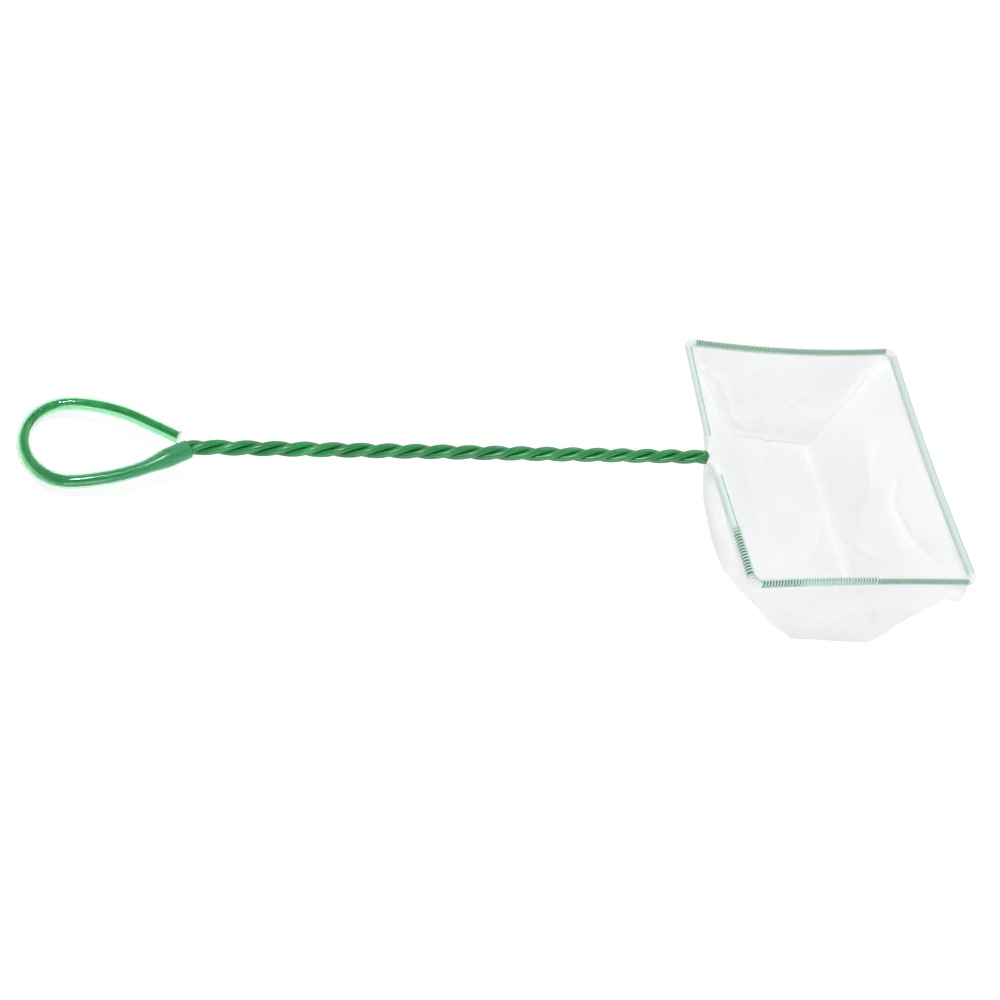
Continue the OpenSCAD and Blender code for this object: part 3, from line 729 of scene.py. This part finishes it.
def outward(mesh):
    """Turns a mesh's normals outward."""
    work = bmesh.new()
    work.from_mesh(mesh)
    bmesh.ops.recalc_face_normals(work, faces=work.faces)
    work.to_mesh(mesh)
    work.free()


def lay_uv(mesh, places):
    """A UV map with the places of each face's corners."""
    uv = mesh.uv_layers.new(name="UVMap")
    for face, corners in zip(mesh.polygons, places):
        for loop, place in zip(face.loop_indices, corners):
            uv.data[loop].uv = place


def along_route(name, route, widths, tree, sizes, material, place=REST):
    """A piece made by a node tree along a route."""
    made = laid_route(name + "_route", route, widths if isinstance(widths, list) else [widths] * len(route))
    modifier = made.modifiers.new(tree.name, "NODES")
    modifier.node_group = tree
    given = {"Material": material, "Bore material": material, **sizes}
    for item in tree.interface.items_tree:
        if item.in_out == "INPUT" and item.name in given:
            modifier[item.identifier] = given[item.name]
    return plain_mesh(made, name, place)


# Hem

def hem_route():
    """The hem's route: the mouth wire, with the last of the strands on each side of the neck."""
    tails = [[p for p in strand if p.x > LAST_X - 0.2 * MM and abs(p.y) > least]
             for strand, least in ((strand_a(), 1.8 * MM), (strand_b(), 1.5 * MM))]
    route, corners = mouth_route()
    return chain(tails[0], route, tails[1][::-1]), corners


def gathered(places, at, half):
    """How far each place is inside a gather centred at a distance, from 0 to 1."""
    return [smooth((half + BUNCH_EASE - abs(p - at)) / BUNCH_EASE) for p in places]


def stitch_routes():
    """Routes of the fine overstitching and of the bold stitches round the near corner at the handle's end."""
    route, _ = mouth_route()
    first = next(i for i, p in enumerate(route) if p.y < -CORNER_Y and p.x < 4 * MM)
    last = max(i for i, p in enumerate(route) if p.y < -36 * MM)
    return route[:first], route[first:last]


def hem_closure_and_shade(p, out, way):
    """How far the folded net covers the wire at a place of the hem, looking outward, and on one way round the wire
    there, with painted shade: on the end and handle sides the net opens on the wire's +x side, so that the dark wire
    shows there.
    """
    if abs(out.x) < 0.5:
        doubled = 0.6 * smooth((abs(way.dot(Vector((0, 0.857, 0.515)))) - 0.55) / 0.3)
        if p.y > 0:
            return doubled
        run = (p.x + HALF_L) / (2 * HALF_L)
        thin = 1 - smooth((run - 0.17) / 0.06)
        return max(doubled, 0.6 * (1 - smooth((run - 0.34) / 0.28))) * (1 - thin) - 0.2 * thin
    thin = smooth((-p.y - 36 * MM) / (5 * MM)) * smooth(-p.x / HALF_L)
    # Painted shade: the net opens on the wire's +x side, its shaded side.
    return mix(0.78 * smooth(abs(out.x) * 1.5) * (1 - 0.85 * smooth(2.5 * way.x)), -0.1, thin)


def build_hem(material):
    """Net folded round the wire, with a short doubled edge below it, bunched at the corners and at the neck."""
    route, corners = hem_route()
    along = lengths(route)
    bunches = [(at, CORNER_BUNCH) for at in runs_at(route, corners)] + [(0.0, NECK_BUNCH), (along[-1], NECK_BUNCH)]
    bunch = [0.0] * len(route)
    for at, half in bunches:
        bunch = [max(a, b) for a, b in zip(bunch, gathered(along, at, half))]
    turns = [math.radians(a) for a in range(-50, 231, 20)]
    verts, faces, uvs, layers = [], [], [], []
    count = len(turns) + 2
    for i, p in enumerate(route):
        ahead = (route[min(i + 1, len(route) - 1)] - route[max(i - 1, 0)]).normalized()
        up = Vector((0, 0, 1))
        out = up.cross(ahead).normalized()
        up = ahead.cross(out)
        snug = smooth(along[i] / (6 * MM)) * smooth((along[-1] - along[i]) / (6 * MM))
        tail = (1.15 + 0.3 * noise.noise(Vector((along[i] * 300, 5, 0)))) * MM * snug
        for turn in turns:
            ridge = noise.noise(Vector((along[i] * 620, turn * 0.8, 3)))
            ridge += 0.5 * noise.noise(Vector((along[i] * 1400, turn * 1.6, 9)))
            soft = noise.noise(Vector((along[i] * 180, turn * 1.1, 1)))
            r = HEM_R + bunch[i] * mix(0.5, 1, snug) * (0.3 * MM + 0.4 * MM * ridge) + 0.05 * MM * soft
            way = math.cos(turn) * out + math.sin(turn) * up
            verts.append(p + r * way)
            # How much the net covers here, with painted shade on the wire's shaded side.
            closure_and_shade = hem_closure_and_shade(p, out, way)
            layers.append(mix(closure_and_shade, 0.95, bunch[i]))
        sway = 0.25 * MM * noise.noise(Vector((along[i] * 240, 2, 4)))
        for shift in (-DOUBLED_HALF, DOUBLED_HALF):
            verts.append(p + (shift + sway) * out - (HEM_R + tail) * up)
            layers.append(max(bunch[i] * 0.95, 0.5))
    for i in range(len(route) - 1):
        for k in range(count):
            m = (k + 1) % count
            a, b = i * count + k, i * count + m
            faces.append((a, a + count, b + count, b))
            uvs.append([(along[j], (k + e) * HEM_STEP) for j, e in ((i, 0), (i + 1, 0), (i + 1, 1), (i, 1))])
    mesh = bpy.data.meshes.new("hem")
    mesh.from_pydata(verts, [], faces)
    lay_uv(mesh, uvs)
    mesh.attributes.new("layers", "FLOAT", "POINT").data.foreach_set("value", layers)
    outward(mesh)
    mesh.materials.append(material)
    mesh.shade_smooth()
    mesh.transform(REST)
    return put("hem", mesh)


# Bag

COLUMNS_X = 52
COLUMNS_Y = 64
ROWS = 34
STRIP, NEAR, FAR = 0, 1, 2
FLOOR_GAP = 0.35 * MM


def side_tops():
    """Points of the bag's top edge, just under the hem, for its four sides."""
    route, corners = mouth_route()
    along = lengths(route)
    places = runs_at(route, corners)

    def at(place):
        i = max(1, min(len(route) - 1, next((k for k, s in enumerate(along) if s >= place), len(route) - 1)))
        t = (place - along[i - 1]) / (along[i] - along[i - 1])
        return route[i - 1].lerp(route[i], t)

    def low(p, drop=0.0):
        return REST @ (p + Vector((0, 0, -HEM_R - 0.7 * MM - drop)))

    def stretch(a, b, count):
        return [low(at(mix(a, b, k / count))) for k in range(count + 1)]

    far = stretch(places[0], places[1], COLUMNS_X)
    end = stretch(places[1], places[2], COLUMNS_Y)
    near = stretch(places[2], places[3], COLUMNS_X)
    handle = []
    for k in range(COLUMNS_Y + 1):
        y = mix(corners[3].y, corners[0].y, k / COLUMNS_Y)
        if abs(y) < NECK_HALF:
            handle.append(low(Vector((NECK_X + 0.5 * MM, y, 0)), 1.6 * MM * (1 - (y / NECK_HALF) ** 2)))
        else:
            side = 1 if y > 0 else -1
            reach = abs(y - corners[0 if y > 0 else 3].y)
            whole = abs(corners[0].y) - NECK_HALF
            run = mix(0 if side > 0 else along[-1], places[0] if side > 0 else places[3], 1 - reach / whole)
            handle.append(low(at(run)))
    return {"far": far, "end": end, "near": near[::-1], "handle": handle}


def fullness(s):
    """How full the handle's wall hangs at a place across it, from -1 on the near side to 1 on the far side."""
    return smooth(1 - abs(s + 0.49) / 1.24) * smooth((1 - abs(s)) / 0.25)


def handle_power(s):
    """How the handle's wall slopes at a place across it."""
    return mix(mix(1.03, 1.78, fullness(s)), 1.35, smooth((-s - 0.6) / 0.4))


def wall_point(top, x, s, d):
    """A point of a wall below a point of its top edge, at a share of the depth, where the walls draw in."""
    return Vector((x, mix(top.y, s * BOTTOM_W / 2, d ** DRAW_IN), mix(top.z, FLOOR_GAP, d)))


def handle_point(top, s, d):
    """A point of the handle's wall, which swells toward the handle."""
    swell = WALL_SWELL * fullness(s) * d * (1 - d) ** SWELL_POWER / SWELL_PEAK
    return wall_point(top, mix(top.x, BOTTOM_X, d ** handle_power(s)) - swell, s, d)


def end_point(top, s, d):
    """A point of the end wall, whose near corner stands out a little."""
    swell = 2.2 * MM * 4 * d * (1 - d) * smooth((-s - 0.3) / 0.7)
    return wall_point(top, mix(top.x, BOTTOM_X + BOTTOM_L, d ** 1.1) + swell, s, d)


def gusset_point(top, tops, side, t, d):
    """A point of a side wall, between the edges of the handle's wall and the end wall."""
    back, front = handle_point(tops[0], side, d), end_point(tops[-1], side, d)
    bow = (top.x - mix(tops[0].x, tops[-1].x, t)) * (1 - d)
    return wall_point(top, mix(back.x, front.x, t) + bow, side, d)


def bag_form():
    """The bag as cut and sewn: its points, its faces with their panels and places, and its edges by name."""
    tops = side_tops()
    index, verts, faces = {}, [], []
    depths = [i / ROWS for i in range(ROWS + 1)]

    def vert(p):
        key = tuple(round(c, 6) for c in p)
        if key not in index:
            index[key] = len(verts)
            verts.append(p)
        return index[key]

    def panel(grid, which, flip):
        ids = [[vert(p) for p in row] for row in grid]
        across = [[0.0] * len(grid[0]) for _ in grid]
        down = [[0.0] * len(grid[0]) for _ in grid]
        for i, row in enumerate(grid):
            for k in range(len(row)):
                if k:
                    across[i][k] = across[i][k - 1] + (row[k] - row[k - 1]).length
                if i:
                    down[i][k] = down[i - 1][k] + (row[k] - grid[i - 1][k]).length
            middle = across[i][-1] / 2
            across[i] = [a - middle for a in across[i]]
        for i in range(len(grid) - 1):
            for k in range(len(grid[0]) - 1):
                around = [(i, k), (i + 1, k), (i + 1, k + 1), (i, k + 1)]
                if flip:
                    around.reverse()
                faces.append(([ids[a][b] for a, b in around], which, [(across[a][b], down[a][b]) for a, b in around]))
        return ids

    places = [2 * k / COLUMNS_Y - 1 for k in range(COLUMNS_Y + 1)]
    handle = panel([[handle_point(p, s, d) for p, s in zip(tops["handle"], places)] for d in depths], STRIP, False)
    end = panel([[end_point(p, s, d) for p, s in zip(tops["end"][::-1], places)] for d in depths], STRIP, True)
    sides = {}
    for name, side, which in (("near", -1, NEAR), ("far", 1, FAR)):
        top = tops[name]
        sides[name] = panel([[gusset_point(p, top, side, k / COLUMNS_X, d) for k, p in enumerate(top)] for d in depths],
                            which, side < 0)
    bottom = panel([[Vector((mix(BOTTOM_X, BOTTOM_X + BOTTOM_L, i / COLUMNS_X), s * BOTTOM_W / 2, FLOOR_GAP))
                     for s in places] for i in range(COLUMNS_X + 1)], STRIP, True)
    edges = {name: [row[0] for row in grid] + grid[-1][1:-1] + [row[-1] for row in grid[::-1]]
             for name, grid in sides.items()}
    hem_line = set(handle[0] + end[0] + sides["near"][0] + sides["far"][0])
    return verts, faces, hem_line, edges, {v for row in bottom for v in row}


# Folds that the net keeps from lying flat in its packing: points along each, its width and how far it stands up
CREASES = (
    (((104, 61, 43), (123, 60, 34), (141, 58, 13), (166, 42, 1)), 4, 2.2),
    (((112, 61, 50), (126, 60, 45), (138, 60, 38)), 3, -1.6),
    (((144, 60, 36), (170, 45, 3), (198, 26, 11)), 5, 2.0),
    (((193, 61, 58), (195, 58, 43), (190, 52, 20)), 4, 1.8),
    (((182, 61, 60), (176, 60, 44), (166, 57, 24)), 3, 1.4),
    (((197, 5, 53), (197, -7, 43), (197, -27, 47), (198, -41, 54)), 2.5, -2.4),
    (((197, -12, 12), (197, -26, 26), (197, -27, 40)), 3, 2.4),
    (((198, 30, 40), (198, 10, 34), (197, -4, 16)), 4, 1.5),
    (((198, -50, 30), (197, -40, 18), (190, -30, 2)), 4, 1.8),
    (((194, 13, 1), (186, -2, 1), (176, -14, 1)), 4, 2.0),
    (((140, -28, 4), (154, -24, 1), (165, -16, 1)), 3.5, 1.8),
    (((118, -61, 32), (126, -60, 20), (135, -58, 6)), 3.5, -1.4),
    (((146, -60, 4), (146, -61, 18), (150, -62, 34)), 3, 1.6),
    (((148, -63, 58), (170, -61, 40), (192, -57, 14)), 3.5, 2.0),
    (((186, -62, 52), (172, -61, 36), (166, -60, 14)), 3.5, 1.8),
    (((96, -20, 38), (104, -24, 22), (122, -22, 8)), 4, 1.6),
    (((97, 32, 38), (110, 30, 24), (128, 24, 8)), 4, 1.8),
)


def creased(mesh, held):
    """Presses the lasting folds into the settled net."""
    ways = [v.normal.copy() for v in mesh.vertices]
    for points, width, height in CREASES:
        line = [Vector(p) * MM for p in points]
        for v, way in zip(mesh.vertices, ways):
            if v.index in held:
                continue
            near = min((gap_to(v.co, a, b) for a, b in zip(line, line[1:])), key=lambda gap: gap.length)
            if near.length < 10 * MM:
                off = (near - near.dot(way) * way).length
                v.co -= height * MM * math.exp(-off / (0.4 * width * MM)) * way


def gap_to(p, a, b):
    """From a stretch of a line to a point."""
    t = min(max((p - a).dot(b - a) / (b - a).length_squared, 0), 1)
    return p - a.lerp(b, t)


def softened(verts, faces, held):
    """Rounds the bag's folds, less so on its near side, where its bottom spreads and a pocket of net sags."""
    around = [set() for _ in verts]
    for ids, _, _ in faces:
        for a, b in zip(ids, ids[1:] + ids[:1]):
            around[a].add(b)
            around[b].add(a)
    for _ in range(SOFT_ROUNDS):
        moved = []
        for i, v in enumerate(verts):
            ease = 0 if i in held else mix(0.025, 0.5, smooth((v.y + 50 * MM) / (35 * MM)))
            moved.append(v.lerp(sum((verts[k] for k in around[i]), Vector()) / len(around[i]), ease))
        verts = moved
    sag = REST @ Vector((50 * MM, -62.5 * MM, -7 * MM))
    for i, v in enumerate(verts):
        if i not in held:
            v.y -= NEAR_SPREAD * smooth((-v.y - 25 * MM) / (30 * MM)) * smooth(1 - v.z / (34 * MM))
            v += math.exp(-((v - sag).length / (6 * MM)) ** 2) * Vector((0.5 * MM, -5 * MM, -1.5 * MM))
    return verts


def settle_bag(mesh, weights):
    """Lets the sewn bag ease and crease under its own weight. It is simulated at twenty times its size."""
    scale, frames = 20.0, 40
    mesh.transform(Matrix.Scale(scale, 4))
    bag = put("bag_cloth", mesh)
    held = bag.vertex_groups.new(name="held")
    for v, weight in enumerate(weights):
        held.add([v], weight, "REPLACE")
    cloth = bag.modifiers.new("cloth", "CLOTH")
    s = cloth.settings
    s.quality = 6
    s.mass = 0.05
    s.tension_stiffness = s.compression_stiffness = 40
    s.shear_stiffness = 12
    s.bending_stiffness = 0.8
    s.tension_damping = s.compression_damping = 20
    s.shear_damping = 12
    s.bending_damping = 1.5
    s.air_damping = 3
    s.vertex_group_mass = "held"
    s.pin_stiffness = 4
    s.shrink_min = -0.035
    cloth.collision_settings.distance_min = 0.004
    cloth.collision_settings.use_self_collision = False
    table = level("table", -2, 8, 4)
    table.modifiers.new("collision", "COLLISION")
    table.collision.thickness_outer = 0.002
    cloth.point_cache.frame_start = 1
    cloth.point_cache.frame_end = frames
    for step in range(1, frames + 1):
        scene.frame_set(step)
    settled = evaluated(bag)
    scene.frame_set(1)
    for helper in (bag, table):
        bpy.data.objects.remove(helper)
    settled.transform(Matrix.Scale(1 / scale, 4))
    return settled


def rolled_seam(name, mesh, edge, material, tree):
    """A rolled seam just inside the bag: down one corner, along the bottom and up the other corner."""
    middle = Vector((BOTTOM_X + 0.3 * BOTTOM_L, 0, 30 * MM))
    route = []
    for v in edge[1:-1]:
        p = mesh.vertices[v].co
        inward = (middle - p).normalized()
        q = p + 0.1 * MM * inward
        if not route or (q - route[-1]).length > 0.5 * MM:
            route.append(q)
    roll = {"Wall": SEAM_WALL, "Sides": 8, "Step": 1.2 * MM}
    return along_route(name, route, SEAM_D, tree, roll, material, Matrix.Identity(4))


def build_bag(material, seam_material, tree):
    """The bag's strip, its two gussets and the rolled seams that join them."""
    verts, faces, hem_line, edges, bottom = bag_form()
    verts = softened(verts, faces, hem_line)
    seams = set(edges["near"]) | set(edges["far"])
    weights = [1.0 if v in hem_line else 0.8 if v in seams else 0.7 if v in bottom else 0.5 for v in range(len(verts))]
    for i, v in enumerate(verts):
        loose = 1 - weights[i]
        v.x += RIPPLE * loose * noise.noise(Vector((v.x * 45, v.y * 45, v.z * 30)))
        v.y += RIPPLE * loose * noise.noise(Vector((v.x * 45 + 7, v.y * 45, v.z * 30)))
    mesh = bpy.data.meshes.new("bag")
    mesh.from_pydata(verts, [], [f[0] for f in faces])
    lay_uv(mesh, [f[2] for f in faces])
    mesh.attributes.new("panel", "INT", "FACE").data.foreach_set("value", [f[1] for f in faces])
    outward(mesh)
    mesh = settle_bag(mesh, weights)
    creased(mesh, hem_line)
    seam_pieces = [rolled_seam("seam_roll_" + side, mesh, edges[side], seam_material, tree) for side in ("near", "far")]
    pieces = []
    for name, which in (("bag_strip", STRIP), ("bag_gusset_near", NEAR), ("bag_gusset_far", FAR)):
        work = bmesh.new()
        work.from_mesh(mesh)
        layer = work.faces.layers.int["panel"]
        bmesh.ops.delete(work, geom=[f for f in work.faces if f[layer] != which], context="FACES")
        part = bpy.data.meshes.new(name)
        work.to_mesh(part)
        work.free()
        part.materials.clear()
        part.materials.append(material)
        part.shade_smooth()
        piece = put(name, part)
        finer = piece.modifiers.new("finer", "SUBSURF")
        finer.levels = finer.render_levels = 1
        pieces.append(piece)
    return pieces, seam_pieces


def ride(piece, slot, *nodes):
    """Puts a piece on the one body, in place of its CAD nodes. The slot is not used."""
    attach(piece, "root")
    if nodes:
        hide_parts(*nodes)


set_camera()
set_light()

steel = steel_material()
net = net_material("fine_net", 0.36, 0.12, (0.855, 0.855, 0.875))
# The seam net is painted lighter than the net, to cancel the shade along the thin rolled seams.
seam_net = net_material("seam_net", 0.03, 0.0, (0.93, 0.93, 0.95))
# The hem net is painted mint: the green light that the wire sends through the white cloth. Where it bunches thick, it
# keeps the cloth's own grey-white.
hem_net = net_material("hem_net", 0.13, 0.03, (0.70, 0.93, 0.83), (0.83, 0.84, 0.86))
thread = thread_material("white_thread", (0.78, 0.84, 0.81), (0.93, 0.95, 0.94))
floss = thread_material("pale_floss", (0.50, 0.66, 0.60), (0.68, 0.82, 0.76))

for node_name in ("frame_wire_core", "handle_core_a", "handle_core_b", "handle_core_c", "loop_core"):
    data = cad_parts[node_name].data
    data.materials.clear()
    data.materials.append(steel)

tube = tube_tree()
wire = {"Wall": (WIRE_D - CORE_BORE) / 2, "Sides": 16, "Step": 0.6 * MM}
slid, widths = sleeve_route()
tube_length = lengths(slid)[-1]
vinyl = vinyl_material("green_vinyl", tube_length - TAIL_L)
coat = along_route("wire_coat", wire_route(), WIRE_D, tube, wire, vinyl)
ride(coat, "vinyl_coat", "frame_wire_coat", "handle_coat_a", "handle_coat_b", "loop_coat")
vinyl = vinyl_material("green_vinyl_third", 0.0)
third = along_route("third_strand_coat", strand_c(), WIRE_D, tube, wire, vinyl)
ride(third, "vinyl_coat", "handle_coat_c")

snug_tube = {"Wall": SLEEVE_WALL, "Sides": 40, "Step": 0.8 * MM, "Bore material": bore_material(tube_length)}
sleeve = along_route("grip_tube", slid, widths, tube, snug_tube, sleeve_material(tube_length))
ride(sleeve, "grip_tube", "grip_sleeve")

hem = build_hem(hem_net)
ride(hem, "hem_cloth", "hem_far", "hem_near", "hem_end", "hem_handle_far", "hem_handle_near", "corner_gathers",
     "neck_gathers")

fine, bold = stitch_routes()
stitch = stitch_tree()
ride(along_route("hem_stitches", fine, WIRE_D, stitch, {"Thread": 0.15 * MM}, thread), "seam_cloth")
heavy = {"Thread": 0.58 * MM, "Loop width": 3.25 * MM, "Loop height": 4.2 * MM, "Slant": 0.1}
ride(along_route("hem_stitches_bold", bold, WIRE_D, stitch, heavy, floss), "seam_cloth")

(strip, gusset_near, gusset_far), seams = build_bag(net, seam_net, tube)
ride(strip, "bag_mesh", "strip_handle_wall", "strip_bottom", "strip_end_wall")
ride(gusset_near, "bag_mesh", "gusset_near")
ride(gusset_far, "bag_mesh", "gusset_far")
for seam, node_name in zip(seams, ("seam_near", "seam_far")):
    ride(seam, "seam_cloth", node_name)

floor = level("floor", -6, 6, 6)
floor.data.materials.append(floor_material())
